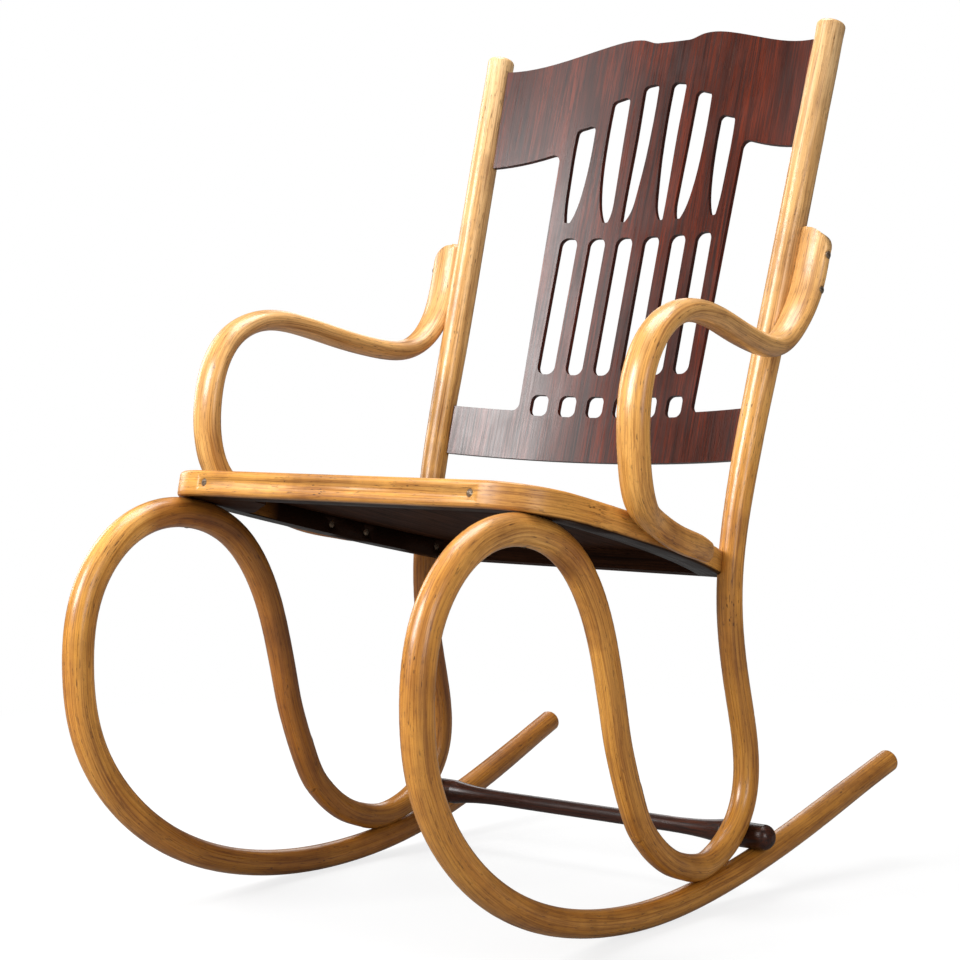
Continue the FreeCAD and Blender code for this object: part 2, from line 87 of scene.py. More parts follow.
def remap(tree, value, low, high, outLow=0.0, outHigh=1.0):
    ramp = addNode(tree, "MapRange")
    setInputs(ramp, From_Min=low, From_Max=high, To_Min=outLow, To_Max=outHigh)
    tree.links.new(value, ramp.inputs["Value"])
    return ramp.outputs["Result"]


def mathOf(tree, operation, first, second):
    node = addNode(tree, "Math", operation=operation)
    for socket, value in zip(node.inputs, (first, second)):
        if isinstance(value, float):
            socket.default_value = value
        else:
            tree.links.new(value, socket)
    return node.outputs["Value"]


def mixOf(tree, factor, first, second, blend="MIX"):
    node = addNode(tree, "Mix", data_type="RGBA", blend_type=blend)
    for index, value in ((0, factor), (6, first), (7, second)):
        if isinstance(value, (float, tuple)):
            node.inputs[index].default_value = value
        else:
            tree.links.new(value, node.inputs[index])
    return node.outputs[2]


def rampOf(tree, value, stops):
    ramp = addNode(tree, "ValToRGB")
    while len(ramp.color_ramp.elements) < len(stops):
        ramp.color_ramp.elements.new(0.5)
    for element, (place, colour) in zip(ramp.color_ramp.elements, stops):
        element.position = place
        element.color = colour
    tree.links.new(value, ramp.inputs["Fac"])
    return ramp.outputs["Color"]


def turnedTo(tree, point, axes):
    # the point's coordinates along three given directions
    joined = addNode(tree, "CombineXYZ")
    for label, axis in zip("XYZ", axes):
        dot = addNode(tree, "VectorMath", operation="DOT_PRODUCT")
        dot.inputs[1].default_value = axis
        tree.links.new(point, dot.inputs[0])
        tree.links.new(dot.outputs["Value"], joined.inputs[label])
    return joined.outputs["Vector"]


def partOf(tree, point, label):
    split = addNode(tree, "SeparateXYZ")
    tree.links.new(point, split.inputs["Vector"])
    return split.outputs[label]


def buildGroup(name, inputs, outputs):
    group = bpy.data.node_groups.new(name, "ShaderNodeTree")
    for label, kind, value in inputs:
        socket = group.interface.new_socket(name=label, in_out="INPUT", socket_type="NodeSocket" + kind)
        if value is not None:
            socket.default_value = value
    for label, kind in outputs:
        group.interface.new_socket(name=label, in_out="OUTPUT", socket_type="NodeSocket" + kind)
    return group, group.nodes.new("NodeGroupInput"), group.nodes.new("NodeGroupOutput")


def scaledBy(tree, value, share):
    return mathOf(tree, "MULTIPLY", value, share)


def addBump(tree, surface, height, strength, depth):
    bump = addNode(tree, "Bump")
    setInputs(bump, Strength=strength, Distance=depth)
    tree.links.new(height, bump.inputs["Height"])
    tree.links.new(bump.outputs["Normal"], surface.inputs["Normal"])


def distanceTo(tree, point, place):
    away = addNode(tree, "VectorMath", operation="DISTANCE")
    away.inputs[1].default_value = place
    tree.links.new(point, away.inputs[0])
    return away.outputs["Value"]


def placeGroup(tree, group, **values):
    node = tree.nodes.new("ShaderNodeGroup")
    node.node_tree = group
    for key, value in values.items():
        label = key.replace("_", " ")
        if isinstance(value, (float, tuple)):
            node.inputs[label].default_value = value
        else:
            tree.links.new(value, node.inputs[label])
    return node


# the middle of the dark patch on the near loop, as judged
nearShoulder = (0.236, -0.196, 0.405)


def makeGrainGroup():
    # grain of one straight stick: X runs along it, Y and Z across, in metres
    group, source, result = buildGroup(
        "stickGrain",
        [("Stick", "Vector", None), ("Pore Density", "Float", 0.62), ("Ring Width", "Float", 260.0)],
        [(label, "Float") for label in ("Tone", "Lines", "Pores", "Scratches", "Height")])
    stick = source.outputs["Stick"]
    tone = noiseOf(group, stretched(group, stick, (5.0, 42.0, 42.0)), 1.0, 3.0, 0.55, 0.3)
    lineScale = addNode(group, "CombineXYZ")
    lineScale.inputs["X"].default_value = 7.0
    group.links.new(source.outputs["Ring Width"], lineScale.inputs["Y"])
    group.links.new(source.outputs["Ring Width"], lineScale.inputs["Z"])
    scaled = addNode(group, "VectorMath", operation="MULTIPLY")
    group.links.new(stick, scaled.inputs[0])
    group.links.new(lineScale.outputs["Vector"], scaled.inputs[1])
    lines = noiseOf(group, scaled.outputs["Vector"], 1.0, 4.0, 0.6, 0.4)
    pores = noiseOf(group, stretched(group, stick, (75.0, 560.0, 560.0)), 1.0, 3.0, 0.62)
    poreEdge = mathOf(group, "ADD", source.outputs["Pore Density"], 0.1)
    poreMask = addNode(group, "MapRange")
    group.links.new(pores, poreMask.inputs["Value"])
    group.links.new(source.outputs["Pore Density"], poreMask.inputs["From Min"])
    group.links.new(poreEdge, poreMask.inputs["From Max"])
    scratches = noiseOf(group, stretched(group, stick, (16.0, 420.0, 420.0)), 1.0, 3.0, 0.55, 0.8)
    scratchMask = remap(group, scratches, 0.7, 0.75)
    hollows = mathOf(group, "ADD", poreMask.outputs["Result"], scratchMask)
    height = mathOf(group, "SUBTRACT", scaledBy(group, lines, 0.5), hollows)
    for label, value in (("Tone", tone), ("Lines", lines), ("Pores", poreMask.outputs["Result"]),
                         ("Scratches", scratchMask), ("Height", height)):
        group.links.new(value, result.inputs[label])
    return group


def makeGrimeGroup():
    # dull, darker patches that gather with age
    group, source, result = buildGroup(
        "ageGrime",
        [("Point", "Vector", None), ("Patch Size", "Float", 14.0)],
        [("Grime", "Float"), ("Dust", "Float")])
    patch = addNode(group, "TexNoise")
    setInputs(patch, Detail=4.0, Roughness=0.65)
    group.links.new(source.outputs["Point"], patch.inputs["Vector"])
    group.links.new(source.outputs["Patch Size"], patch.inputs["Scale"])
    group.links.new(remap(group, patch.outputs["Fac"], 0.48, 0.75), result.inputs["Grime"])
    dust = noiseOf(group, source.outputs["Point"], 900.0, 1.0, 0.5)
    group.links.new(remap(group, dust, 0.66, 0.74), result.inputs["Dust"])
    return group


def makeShadeGroup():
    # painted shade: the far rocker is darker from the crest of its loop on, down the whole inner leg, where
    # the seat shades it
    group, source, result = buildGroup("shadedLeg", [("Point", "Vector", None)], [("Shade", "Float")])
    point = source.outputs["Point"]
    wander = remap(group, noiseOf(group, point, 22.0, 2.0), 0.3, 0.7, -0.012, 0.012)
    behind = remap(group, mathOf(group, "ADD", partOf(group, point, "Y"), wander), -0.335, -0.3)
    farSide = remap(group, partOf(group, point, "X"), -0.12, -0.16)
    below = remap(group, partOf(group, point, "Z"), 0.47, 0.44)
    lowEnd = remap(group, partOf(group, point, "Z"), 0.05, 0.2, 0.45, 1.0)
    farLeg = mathOf(group, "MULTIPLY", mathOf(group, "MULTIPLY", behind, farSide),
                    mathOf(group, "MULTIPLY", below, lowEnd))
    # the near loop is darker in a patch low on its shoulder, under the rail
    away = mathOf(group, "ADD", distanceTo(group, point, nearShoulder), wander)
    patch = remap(group, away, 0.042, 0.014, 0.0, 0.9)
    group.links.new(mathOf(group, "MAXIMUM", farLeg, patch), result.inputs["Shade"])
    return group


def makeMarkGroup():
    # sparse clusters of short cracks and worm holes, drawn out along the grain
    group, source, result = buildGroup("wornMarks", [("Stick", "Vector", None)], [("Marks", "Float")])
    stick = source.outputs["Stick"]
    cells = addNode(group, "TexVoronoi", feature="F1")
    setInputs(cells, Scale=1.0, Randomness=1.0)
    group.links.new(stretched(group, stick, (110.0, 330.0, 330.0)), cells.inputs["Vector"])
    rough = noiseOf(group, stretched(group, stick, (300.0, 900.0, 900.0)), 1.0, 3.0, 0.6)
    ragged = remap(group, rough, 0.3, 0.7, -0.1, 0.1)
    holes = remap(group, mathOf(group, "ADD", cells.outputs["Distance"], ragged), 0.26, 0.16)
    patches = noiseOf(group, stretched(group, stick, (16.0, 40.0, 40.0)), 1.0, 2.0)
    clusters = remap(group, patches, 0.66, 0.71)
    group.links.new(mathOf(group, "MULTIPLY", holes, clusters), result.inputs["Marks"])
    return group


grainGroup = makeGrainGroup()
grimeGroup = makeGrimeGroup()
shadeGroup = makeShadeGroup()
markGroup = makeMarkGroup()

bentWood = {
    # painted light and shade: the bent wood is lighter towards the top and darker towards the floor
    "lightByHeight": [
        (0.0, (0.52, 0.23, 0.036, 1.0)),
        (0.33, (0.76, 0.355, 0.064, 1.0)),
        (0.5, (0.86, 0.46, 0.125, 1.0)),
        (0.95, (0.88, 0.6, 0.31, 1.0)),
    ],
    "streak": (0.82, 0.71, 0.56, 1.0),
    "shaded": (0.6, 0.5, 0.42, 1.0),
    "mark": (0.05, 0.02, 0.008, 1.0),
    "line": (0.42, 0.3, 0.19, 1.0),
    "grime": (0.42, 0.33, 0.25, 1.0),
    "pore": (0.075, 0.028, 0.009, 1.0),
    # painted shade below and inside the seat rail
    "railShade": (0.02, 0.009, 0.005, 1.0),
    "roughness": (0.24, 0.4),
    "specular": 0.5,
    "coat": 0.35,
    "coatRoughness": 0.2,
    "index": 1.46,
    "poreDensity": 0.6,
    "ringWidth": 230.0,
    "patchSize": 9.0,
    "bump": 0.22,
    "bumpDepth": 0.0005,
}


def bentWoodColour(tree, look, stick, place, grain, grime):
    # painted light and shade: the colour runs lighter towards the top and darker towards the floor
    wander = remap(tree, noiseOf(tree, place, 5.0, 2.0), 0.3, 0.7, -0.08, 0.08)
    colour = rampOf(tree, mathOf(tree, "ADD", partOf(tree, place, "Z"), wander), look["lightByHeight"])
    streaks = remap(tree, grain["Tone"], 0.35, 0.68)
    colour = mixOf(tree, streaks, colour, look["streak"], "MULTIPLY")
    fibres = noiseOf(tree, stretched(tree, stick, (11.0, 780.0, 780.0)), 1.0, 3.0, 0.65, 0.2)
    colour = mixOf(tree, remap(tree, grain["Lines"], 0.46, 0.7, 0.0, 0.6), colour, look["line"], "MULTIPLY")
    colour = mixOf(tree, remap(tree, fibres, 0.46, 0.66, 0.0, 0.7), colour, look["line"], "MULTIPLY")
    colour = mixOf(tree, scaledBy(tree, grime["Grime"], 0.8), colour, look["grime"], "MULTIPLY")
    for mask, share in ((grain["Pores"], 0.72), (grain["Scratches"], 0.6), (grime["Dust"], 0.3)):
        colour = mixOf(tree, scaledBy(tree, mask, share), colour, look["pore"])
    # painted shade on the far rocker's inner leg, and a darker patch on the near loop's shoulder
    shade = placeGroup(tree, shadeGroup, Point=place).outputs["Shade"]
    colour = mixOf(tree, shade, colour, look["shaded"], "MULTIPLY")
    marks = placeGroup(tree, markGroup, Stick=stick).outputs["Marks"]
    return mixOf(tree, scaledBy(tree, marks, 0.85), colour, look["mark"])


def makeBentWood(name, look, shadeUnderRail=False):
    material, tree, surface = newMaterial(name)
    stick = addNode(tree, "Attribute", attribute_name="stick").outputs["Vector"]
    place = addNode(tree, "TexCoord").outputs["Object"]
    density, rings, patches = look["poreDensity"], look["ringWidth"], look["patchSize"]
    grain = placeGroup(tree, grainGroup, Stick=stick, Pore_Density=density, Ring_Width=rings).outputs
    grime = placeGroup(tree, grimeGroup, Point=place, Patch_Size=patches).outputs
    colour = bentWoodColour(tree, look, stick, place, grain, grime)
    if shadeUnderRail:
        # painted shade: dark below and inside, where the seat shades the rail
        under = remap(tree, partOf(tree, stick, "Y"), -0.0105, -0.0125)
        inside = remap(tree, partOf(tree, stick, "Z"), -0.0125, -0.0145)
        mask = mathOf(tree, "MAXIMUM", under, inside)
        colour = mixOf(tree, mask, colour, look["railShade"])
        duller = mathOf(tree, "SUBTRACT", look["specular"], scaledBy(tree, mask, 0.46))
        tree.links.new(duller, surface.inputs["Specular IOR Level"])
    tree.links.new(colour, surface.inputs["Base Color"])
    rough = mathOf(tree, "ADD", remap(tree, grain["Lines"], 0.3, 0.7, *look["roughness"]),
                   scaledBy(tree, grime["Grime"], 0.14))
    tree.links.new(rough, surface.inputs["Roughness"])
    addBump(tree, surface, grain["Height"], look["bump"], look["bumpDepth"])
    coat = 0.0 if shadeUnderRail else look["coat"]
    setInputs(surface, Coat_Weight=coat, Coat_Roughness=look["coatRoughness"], IOR=look["index"])
    return material


plyWood = {
    "red": (0.13, 0.019, 0.006, 1.0),
    "brown": (0.04, 0.0072, 0.003, 1.0),
    "black": (0.012, 0.0045, 0.0035, 1.0),
    "worn": (0.24, 0.085, 0.04, 1.0),
    "coatRoughness": 0.18,
    "index": 1.5,
    "poreDensity": 0.57,
    "ringWidth": 330.0,
    "patchSize": 7.0,
    "bump": 0.18,
    "bumpDepth": 0.0003,
}
backPly = dict(plyWood, gloss=0.24, specular=0.36, coat=0.15)
seatPly = dict(plyWood, gloss=0.34, specular=0.4, coat=0.15)
# painted shade: the darker, duller colours of the wood under the seat
shadedUnderWood = dict(
    plyWood,
    red=(0.062, 0.022, 0.009, 1.0),
    brown=(0.03, 0.011, 0.005, 1.0),
    black=(0.01, 0.0048, 0.003, 1.0),
    worn=(0.06, 0.03, 0.018, 1.0),
    gloss=0.55,
    specular=0.06,
    coat=0.0)
turnedWood = dict(
    plyWood,
    red=(0.075, 0.02, 0.009, 1.0),
    brown=(0.03, 0.0095, 0.0055, 1.0),
    black=(0.009, 0.004, 0.003, 1.0),
    worn=(0.12, 0.05, 0.025, 1.0),
    gloss=0.24,
    specular=0.4,
    coat=0.2)


def makePlyWood(name, look, axes, below=None):
    # the grain runs along the first axis, and the last one points out of the seat's upper face
    # or out of the back's rear face
    material, tree, surface = newMaterial(name)
    place = addNode(tree, "TexCoord").outputs["Object"]
    stick = turnedTo(tree, place, axes)
    density, rings, patches = look["poreDensity"], look["ringWidth"], look["patchSize"]
    grain = placeGroup(tree, grainGroup, Stick=stick, Pore_Density=density, Ring_Width=rings).outputs
    grime = placeGroup(tree, grimeGroup, Point=place, Patch_Size=patches).outputs
    fibres = noiseOf(tree, stretched(tree, stick, (14.0, 520.0, 520.0)), 1.0, 3.0, 0.6, 0.3)
    colour = mixOf(tree, remap(tree, grain["Tone"], 0.38, 0.66), look["red"], look["brown"])
    colour = mixOf(tree, remap(tree, fibres, 0.42, 0.62), colour, look["brown"])
    colour = mixOf(tree, remap(tree, grain["Lines"], 0.48, 0.66, 0.0, 0.8), colour, look["black"])
    colour = mixOf(tree, scaledBy(tree, grain["Pores"], 0.6), colour, look["black"])
    colour = mixOf(tree, scaledBy(tree, grain["Scratches"], 0.35), colour, look["worn"])
    gloss, specular, coat = look["gloss"], look["specular"], look["coat"]
    rough = remap(tree, fibres, 0.3, 0.7, gloss, gloss + 0.12)
    rough = mathOf(tree, "ADD", rough, scaledBy(tree, grime["Grime"], 0.12))
    setInputs(surface, Specular_IOR_Level=specular, Coat_Weight=coat, IOR=look["index"])
    setInputs(surface, Coat_Roughness=look["coatRoughness"])
    # painted shade: faces turned downwards take the darker under-seat colours, duller and rougher
    if below:
        facing = addNode(tree, "VectorMath", operation="DOT_PRODUCT")
        facing.inputs[1].default_value = axes[2]
        tree.links.new(addNode(tree, "NewGeometry").outputs["Normal"], facing.inputs[0])
        under = remap(tree, facing.outputs["Value"], 0.1, -0.3)
        dark = mixOf(tree, remap(tree, fibres, 0.42, 0.62), below["red"], below["black"])
        colour = mixOf(tree, under, colour, dark)
        duller = remap(tree, under, 0.0, 1.0, specular, below["specular"])
        tree.links.new(duller, surface.inputs["Specular IOR Level"])
        tree.links.new(remap(tree, under, 0.0, 1.0, coat, below["coat"]), surface.inputs["Coat Weight"])
        rough = mathOf(tree, "ADD", rough, scaledBy(tree, under, 0.25))
    tree.links.new(colour, surface.inputs["Base Color"])
    tree.links.new(rough, surface.inputs["Roughness"])
    addBump(tree, surface, fibres, look["bump"], look["bumpDepth"])
    return material


screwSteel = {
    "bright": (0.3, 0.24, 0.17, 1.0),
    "rust": (0.1, 0.048, 0.024, 1.0),
    "roughness": (0.35, 0.75),
    "metallic": (0.8, 0.2),
    "spots": 700.0,
    "bump": 0.3,
    "bumpDepth": 0.0002,
}


def makeScrewSteel(name, look):
    material, tree, surface = newMaterial(name)
    place = addNode(tree, "TexCoord").outputs["Object"]
    spots = noiseOf(tree, place, look["spots"], 4.0, 0.65)
    rust = remap(tree, spots, 0.4, 0.62)
    tree.links.new(mixOf(tree, rust, look["bright"], look["rust"]), surface.inputs["Base Color"])
    for label, values in (("Roughness", look["roughness"]), ("Metallic", look["metallic"])):
        tree.links.new(remap(tree, spots, 0.4, 0.62, *values), surface.inputs[label])
    addBump(tree, surface, spots, look["bump"], look["bumpDepth"])
    return material


backLean = radians(16.7)
seatTilt = radians(13.1)
alongX, alongY, alongZ = (1.0, 0.0, 0.0), (0.0, 1.0, 0.0), (0.0, 0.0, 1.0)
backAxes = ((0.0, sin(backLean), cos(backLean)), alongX, (0.0, cos(backLean), -sin(backLean)))
seatAxes = ((0.0, cos(seatTilt), -sin(seatTilt)), alongX, (0.0, sin(seatTilt), cos(seatTilt)))
plainAxes = (alongX, alongY, alongZ)
bentWoodLook = makeBentWood("honeyBeech", bentWood)
railLook = makeBentWood("honeyBeechRail", bentWood, True)
backLook = makePlyWood("redBackPly", backPly, backAxes)
seatLook = makePlyWood("redSeatPly", seatPly, seatAxes, shadedUnderWood)
# painted shade: the rear rail and corner blocks under the seat take the darker under-seat colours all over
innerLook = makePlyWood("darkInnerWood", shadedUnderWood, plainAxes)
stretcherLook = makePlyWood("blackTurnedWood", turnedWood, plainAxes)
steelLook = makeScrewSteel("agedScrewSteel", screwSteel)


def dress(node, material):
    mesh = nodes[node].data
    mesh.materials.clear()
    mesh.materials.append(material)


dress("back_panel", backLook)
dress("seat_panel", seatLook)
dress("seat_rear_rail", innerLook)
dress("left_corner_block", innerLook)
dress("right_corner_block", innerLook)
dress("stretcher", stretcherLook)
for name in nodes:
    if name.endswith("_screws"):
        dress(name, steelLook)
print("stage: materials")


# bent sticks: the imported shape, with each point's place in the straight stick it was bent from

# sizes and places as in the part's source, in metres
# the part's origin lies this far in front of the frame's, which is under the middle of the chair
routeShift = Vector((0.0, -0.0564, 0.0))
frameHalf = 0.235
tailSplay = 0.023
armHalf = frameHalf + 0.063
rockerRadius = 0.01475
loopRadius = 0.0165
bendRadius = 0.0145
postRadius = 0.0165
letIn = 0.0015
scarfPlace = (frameHalf, -0.012, 0.124)
loopTop = (frameHalf, -0.195, 0.4305)
bendPlace = (frameHalf, 0.122, rockerRadius + 0.007)

post = {"foot": Vector((frameHalf - 0.01, 0.203, 0.473)), "length": 0.517, "splay": 0.015}
seat = {"front": -0.222, "railHeight": 0.027, "railWidth": 0.032, "straight": frameHalf - 0.039,
        "corner": 0.07, "cornerTurn": radians(86), "belly": (frameHalf + 0.028, 0.212),
        "rear": (frameHalf - 0.025, 0.426)}
arm = {"footWidth": 0.02, "footSunk": 0.0006, "paddleWidth": 0.042, "letIn": 0.003, "paddleEnd": 0.28}

# points laid between two route points
routeSteps = 24
sharpAngle = radians(38)


def smoothLine(points):
    padded = [points[0] * 2 - points[1]] + points + [points[-1] * 2 - points[-2]]
    line = []
    for a, b, c, d in zip(padded, padded[1:], padded[2:], padded[3:]):
        for i in range(routeSteps):
            t = i / routeSteps
            square = 2 * a - 5 * b + 4 * c - d
            cube = 3 * b - a - 3 * c + d
            line.append(0.5 * (2 * b + (c - a) * t + square * t * t + cube * t ** 3))
    line.append(points[-1])
    return line


# the glued scarf: the two rods come back to one round section here
scarf = {"place": Vector(scarfPlace) + routeShift, "round": bendRadius, "full": 0.09, "fade": 0.15}
# the growth is worked out as if no point lay nearer the line than this
thinnest = 0.006


def scarfShare(vertex):
    far = (Vector((abs(vertex.x), vertex.y, vertex.z)) - scarf["place"]).length
    return min(1.0, max(0.0, (scarf["fade"] - far) / (scarf["fade"] - scarf["full"])))


def weldedCopy(node):
    shape = bmesh.new()
    shape.from_mesh(nodes[node].data)
    bmesh.ops.remove_doubles(shape, verts=shape.verts, dist=0.00001)
    mesh = bpy.data.meshes.new(node + "Wood")
    shape.to_mesh(mesh)
    shape.free()
    return mesh


def pointFinder(line):
    finder = KDTree(len(line))
    for i, point in enumerate(line):
        finder.insert(point, i)
    finder.balance()
    return finder


def bentStick(node, route, offset, side=Vector((1, 0, 0)), leg=(0, 0), look=None):
    mesh = weldedCopy(node)
    line = smoothLine([Vector(point) + routeShift for point in route])
    lengths = [0.0]
    for a, b in zip(line, line[1:]):
        lengths.append(lengths[-1] + (b - a).length)
    finder = pointFinder(line)
    stick = mesh.attributes.new("stick", "FLOAT_VECTOR", "POINT")
    for vertex in mesh.vertices:
        spot, i, far = finder.find(vertex.co)
        low, high = line[max(i - 1, 0)], line[min(i + 1, len(line) - 1)]
        along = (high - low).normalized()
        across = (side - along * side.dot(along)).normalized()
        up = along.cross(across)
        away = vertex.co - spot
        place = Vector((away.dot(along), away.dot(across), away.dot(up)))
        if leg[0] <= i < leg[1]:
            grow = scarf["round"] / max(thinnest, Vector(place.yz).length)
            share = scarfShare(vertex.co)
            place.yz = Vector(place.yz) * (1 + (grow - 1) * share)
            vertex.co = spot + along * place.x + across * place.y + up * place.z
        stick.data[vertex.index].vector = (lengths[i] + place.x + offset, place.y, place.z)
    mesh.shade_smooth()
    mesh.set_sharp_from_angle(angle=sharpAngle)
    mesh.materials.append(look or bentWoodLook)
    piece = bpy.data.objects.new(node + "Wood", mesh)
    scene.collection.objects.link(piece)
    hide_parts(node)
    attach(piece, "root")


def flipped(route):
    return [(-x, y, z) for x, y, z in route]


rockerRoute = [
    (frameHalf + tailSplay, 0.472, 0.117),
    (frameHalf + tailSplay * 0.26, 0.272, 0.053),
    (frameHalf, 0.156, 0.0265),
    (frameHalf, 0.02, rockerRadius),
    (frameHalf, -0.095, 0.025),
    (frameHalf, -0.205, 0.0595),
    (frameHalf, -0.297, 0.126),
    (frameHalf, -0.343, 0.201),
    (frameHalf, -0.3535, 0.273),
    (frameHalf, -0.339, 0.353),
    (frameHalf, -0.29, 0.411),
    (frameHalf, -0.242, 0.43),
    loopTop,
    (frameHalf, -0.135, 0.408),
    (frameHalf, -0.087, 0.351),
    (frameHalf, -0.06, 0.275),
    (frameHalf, -0.041, 0.197),
    scarfPlace,
    (frameHalf, 0.014, 0.0905),
    (frameHalf, 0.047, 0.066),
]


def restingBend():
    # the rear bend's centre where it rests on the rocker, let into it a little
    line = smoothLine([Vector(point) for point in rockerRoute[:6]])
    spot, i, far = pointFinder(line).find(bendPlace)
    along = (line[i + 1] - line[i - 1]).normalized()
    spot = spot + along * (Vector(bendPlace) - spot).dot(along)
    rise = Vector((0.0, -abs(along.z), abs(along.y)))
    return tuple(spot + rise * (rockerRadius + bendRadius - letIn))


def onPost(run):
    up = Vector((post["splay"] / post["length"], sin(backLean), cos(backLean))).normalized()
    return post["foot"] + up * run


postRoute = [
    (frameHalf, -0.041, 0.197),
    scarfPlace,
    (frameHalf, 0.014, 0.0905),
    (frameHalf, 0.047, 0.066),
    (frameHalf - 0.001, 0.082, 0.053),
    restingBend(),
    (frameHalf - 0.004, 0.158, 0.0615),
    (frameHalf - 0.006, 0.192, 0.087),
    (frameHalf - 0.008, 0.2095, 0.121),
    (frameHalf - 0.0095, 0.2125, 0.16),
    (frameHalf - 0.0105, 0.2055, 0.199),
    (frameHalf - 0.012, 0.187, 0.278),
    (frameHalf - 0.0125, 0.1815, 0.348),
    (frameHalf - 0.012, 0.1875, 0.402),
    tuple(post["foot"]),
    tuple(onPost(0.15)),
    tuple(onPost(0.34)),
    tuple(onPost(post["length"])),
]

seatUp = Vector((0.0, sin(seatTilt), cos(seatTilt)))
seatBack = Vector((0.0, cos(seatTilt), -sin(seatTilt)))


def onSeat(across, back, up):
    # from its place in the seat: across, back from the front rail's face, and above the underside
    rest = Vector(loopTop) + seatUp * (loopRadius - letIn / 2)
    front = rest + seatBack * ((seat["front"] - rest.y) / seatBack.y)
    return Vector((across, front.y, front.z)) + seatBack * back + seatUp * up


def circleThrough(a, b, c):
    double = 2 * (a[0] * (b[1] - c[1]) + b[0] * (c[1] - a[1]) + c[0] * (a[1] - b[1]))
    squareA, squareB, squareC = (p[0] ** 2 + p[1] ** 2 for p in (a, b, c))
    x = (squareA * (b[1] - c[1]) + squareB * (c[1] - a[1]) + squareC * (a[1] - b[1])) / double
    y = (squareA * (c[0] - b[0]) + squareB * (a[0] - c[0]) + squareC * (b[0] - a[0])) / double
    return x, y, sqrt((a[0] - x) ** 2 + (a[1] - y) ** 2)


def onCorner(turn, radius):
    return seat["straight"] + radius * sin(turn), seat["corner"] - radius * cos(turn)


def besideRail(back, up):
    # beside the rail's outer face, where the arm's foot lies
    end = onCorner(seat["cornerTurn"], seat["corner"])
    x, y, radius = circleThrough(end, seat["belly"], seat["rear"])
    face = x + sqrt(radius ** 2 - (back - y) ** 2)
    return tuple(onSeat(face + arm["footWidth"] / 2 - arm["footSunk"], back, up))


def besidePost(run, behind):
    across = postRadius + arm["paddleWidth"] / 2 - arm["letIn"]
    return tuple(onPost(run) + Vector((across, behind, 0.0)))


halfRail = seat["railHeight"] / 2
armRoute = [
    besideRail(0.322, halfRail),
    besideRail(0.279, halfRail),
    besideRail(0.232, halfRail + 0.001),
    besideRail(0.187, halfRail + 0.008),
    (armHalf - 0.006, -0.088, 0.461),
    (armHalf, -0.105, 0.51),
    (armHalf, -0.104, 0.552),
    (armHalf, -0.093, 0.59),
    (armHalf, -0.065, 0.625),
    (armHalf - 0.002, -0.02, 0.643),
    (armHalf - 0.006, 0.035, 0.64),
    (armHalf - 0.014, 0.095, 0.6255),
    (armHalf - 0.023, 0.155, 0.6135),
    (armHalf - 0.031, 0.205, 0.614),
    besidePost(0.172, -0.012),
    besidePost(0.205, 0.0),
    besidePost(0.245, 0.002),
    besidePost(arm["paddleEnd"], 0.002),
]

# one side of the seat rail's middle line, across and back: straight front, round corner, bulging side
railInset = seat["railWidth"] / 2
cornerMiddle = seat["corner"] - railInset
railSide = [
    (0.0, railInset),
    (0.1, railInset),
    (seat["straight"], railInset),
    onCorner(seat["cornerTurn"] / 2, cornerMiddle),
    onCorner(seat["cornerTurn"], cornerMiddle),
    (0.249, 0.14),
    (0.247, 0.212),
    (0.228, 0.32),
    (0.201, 0.41),
    (0.19, 0.444),
]
railRoute = [onSeat(-across, back, halfRail) for across, back in reversed(railSide)]
railRoute += [onSeat(across, back, halfRail) for across, back in railSide[1:]]

# the stretches of each line, by its route points, where the scarf is rounded
rockerLeg = (15 * routeSteps, 20 * routeSteps)
postLeg = (0, 4 * routeSteps)
# the grain is read from a fresh stretch of wood for each stick, this far along from the last
freshWood = 3.0

sticks = [
    ("left_rocker", rockerRoute, rockerLeg),
    ("right_rocker", flipped(rockerRoute), rockerLeg),
    ("left_back_post", postRoute, postLeg),
    ("right_back_post", flipped(postRoute), postLeg),
    ("left_arm", armRoute, (0, 0)),
    ("right_arm", flipped(armRoute), (0, 0)),
]
for order, (name, route, leg) in enumerate(sticks):
    bentStick(name, route, order * freshWood, leg=leg)
bentStick("seat_rail", railRoute, len(sticks) * freshWood, Vector((0, 0, 1)), look=railLook)
print("stage: bent sticks")


# floor, light and camera

stage = {
    "size": 40.0,
    # the floor's own paleness to the camera, to light bounced off it, and in reflections
    "seenPale": 0.86,
    "bouncePale": 0.4,
    "mirrorPale": 0.12,
    # how white the floor is near the chair, and over which distances it fades to plain white
    "nearWhite": 0.78,
    "fade": (0.5, 1.6),
    # how much of the white background lights the chair, and how much a glossy ray sees of it
    "skyLight": 0.5,
    "glossyShare": 0.06,
}


def grey(value):
    return (value, value, value, 1.0)


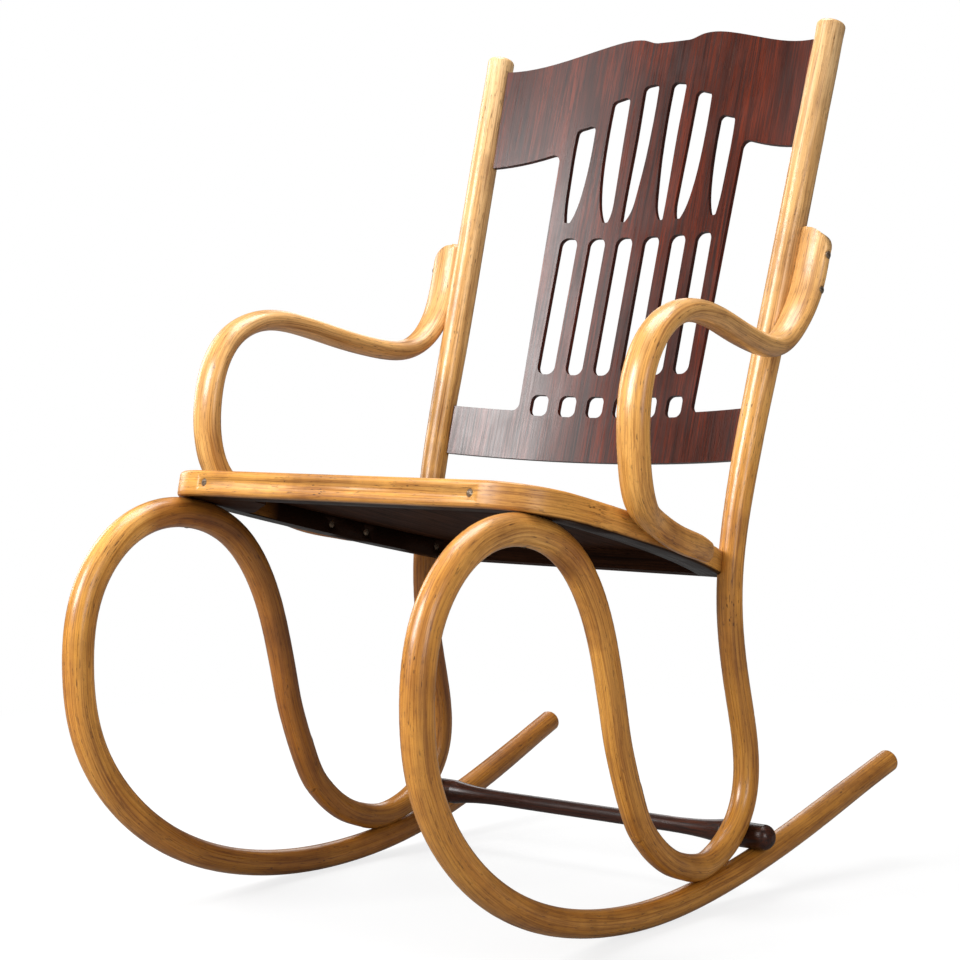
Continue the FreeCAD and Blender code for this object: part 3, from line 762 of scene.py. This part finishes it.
def makeFloor():
    # near the chair the floor takes its soft shadow, and farther off it fades to plain white
    shape = bmesh.new()
    bmesh.ops.create_grid(shape, x_segments=1, y_segments=1, size=stage["size"])
    mesh = bpy.data.meshes.new("studioFloor")
    shape.to_mesh(mesh)
    shape.free()
    floor = bpy.data.objects.new("studioFloor", mesh)
    scene.collection.objects.link(floor)
    material = bpy.data.materials.new("paleFloor")
    material.use_nodes = True
    tree = material.node_tree
    tree.nodes.clear()
    output = tree.nodes.new("ShaderNodeOutputMaterial")
    ray = addNode(tree, "LightPath")
    matte = addNode(tree, "BsdfDiffuse")
    pale = mixOf(tree, ray.outputs["Is Diffuse Ray"], grey(stage["seenPale"]), grey(stage["bouncePale"]))
    shown = mixOf(tree, ray.outputs["Is Glossy Ray"], pale, grey(stage["mirrorPale"]))
    tree.links.new(shown, matte.inputs["Color"])
    white = addNode(tree, "Emission")
    setInputs(white, Color=(1, 1, 1, 1), Strength=1.0)
    blend = addNode(tree, "MixShader")
    seen = mathOf(tree, "MAXIMUM", ray.outputs["Is Camera Ray"], ray.outputs["Is Transmission Ray"])
    mirrored = scaledBy(tree, ray.outputs["Is Glossy Ray"], stage["glossyShare"])
    seen = mathOf(tree, "MAXIMUM", seen, mirrored)
    far = addNode(tree, "VectorMath", operation="LENGTH")
    tree.links.new(addNode(tree, "TexCoord").outputs["Object"], far.inputs[0])
    whiter = remap(tree, far.outputs["Value"], *stage["fade"], stage["nearWhite"], 1.0)
    tree.links.new(mathOf(tree, "MULTIPLY", seen, whiter), blend.inputs["Fac"])
    tree.links.new(matte.outputs["BSDF"], blend.inputs[1])
    tree.links.new(white.outputs["Emission"], blend.inputs[2])
    tree.links.new(blend.outputs["Shader"], output.inputs["Surface"])
    mesh.materials.append(material)


def makeWorld():
    world = bpy.data.worlds.new("studioWorld")
    scene.world = world
    world.use_nodes = True
    tree = world.node_tree
    tree.nodes.clear()
    output = tree.nodes.new("ShaderNodeOutputWorld")
    background = addNode(tree, "Background")
    ray = addNode(tree, "LightPath")
    seen = mathOf(tree, "MAXIMUM", ray.outputs["Is Camera Ray"], ray.outputs["Is Transmission Ray"])
    glossy = ray.outputs["Is Glossy Ray"]
    lit = remap(tree, glossy, 0.0, 1.0, stage["skyLight"], stage["glossyShare"])
    setInputs(background, Color=(1, 1, 1, 1))
    tree.links.new(mathOf(tree, "MAXIMUM", seen, lit), background.inputs["Strength"])
    tree.links.new(background.outputs["Background"], output.inputs["Surface"])


def softLight(name, place, target, size, watts):
    light = bpy.data.lights.new(name, "AREA")
    light.shape = "RECTANGLE"
    light.size, light.size_y = size
    light.energy = watts
    lamp = bpy.data.objects.new(name, light)
    lamp.location = place
    lamp.rotation_euler = (Vector(target) - Vector(place)).to_track_quat("-Z", "Y").to_euler()
    scene.collection.objects.link(lamp)


# place, aim, width and height, and watts
softLights = {
    "keyFromFront": ((-1.0, -2.7, 2.0), (0.0, 0.0, 0.5), (1.1, 1.4), 112.0),
    "softFromLeft": ((-2.7, 0.1, 1.3), (-0.1, 0.0, 0.5), (1.0, 1.4), 18.0),
    "fillFromRight": ((2.8, -1.6, 1.5), (0.0, 0.0, 0.5), (1.0, 1.6), 24.0),
    "topSoft": ((-0.3, 0.2, 2.6), (0.0, 0.0, 0.6), (1.4, 1.4), 46.0),
    "rimFromBehind": ((-1.8, 2.4, 1.7), (0.0, 0.0, 0.6), (1.0, 1.4), 10.0),
}

view = {
    "eye": (1.5639, -1.9164, 0.5715),
    "turn": 38.09,
    "dip": 5.77,
    "lens": 83.23,
    "shift": (-0.0674, 0.1324),
}


def makeCamera(look):
    turn, dip = radians(look["turn"]), radians(look["dip"])
    ahead = Vector((-sin(turn) * cos(dip), cos(turn) * cos(dip), -sin(dip)))
    right = Vector((cos(turn), sin(turn), 0.0))
    up = right.cross(ahead)
    data = bpy.data.cameras.new("photoCamera")
    data.lens = look["lens"]
    data.sensor_width = 36.0
    data.shift_x, data.shift_y = look["shift"]
    data.clip_end = 100.0
    camera = bpy.data.objects.new("photoCamera", data)
    camera.matrix_world = Matrix((
        (right.x, up.x, -ahead.x, look["eye"][0]), (right.y, up.y, -ahead.y, look["eye"][1]),
        (right.z, up.z, -ahead.z, look["eye"][2]), (0, 0, 0, 1)))
    scene.collection.objects.link(camera)
    scene.camera = camera


makeFloor()
makeWorld()
for name, (place, target, size, watts) in softLights.items():
    softLight(name, place, target, size, watts)
makeCamera(view)
print("stage: floor, light and camera")
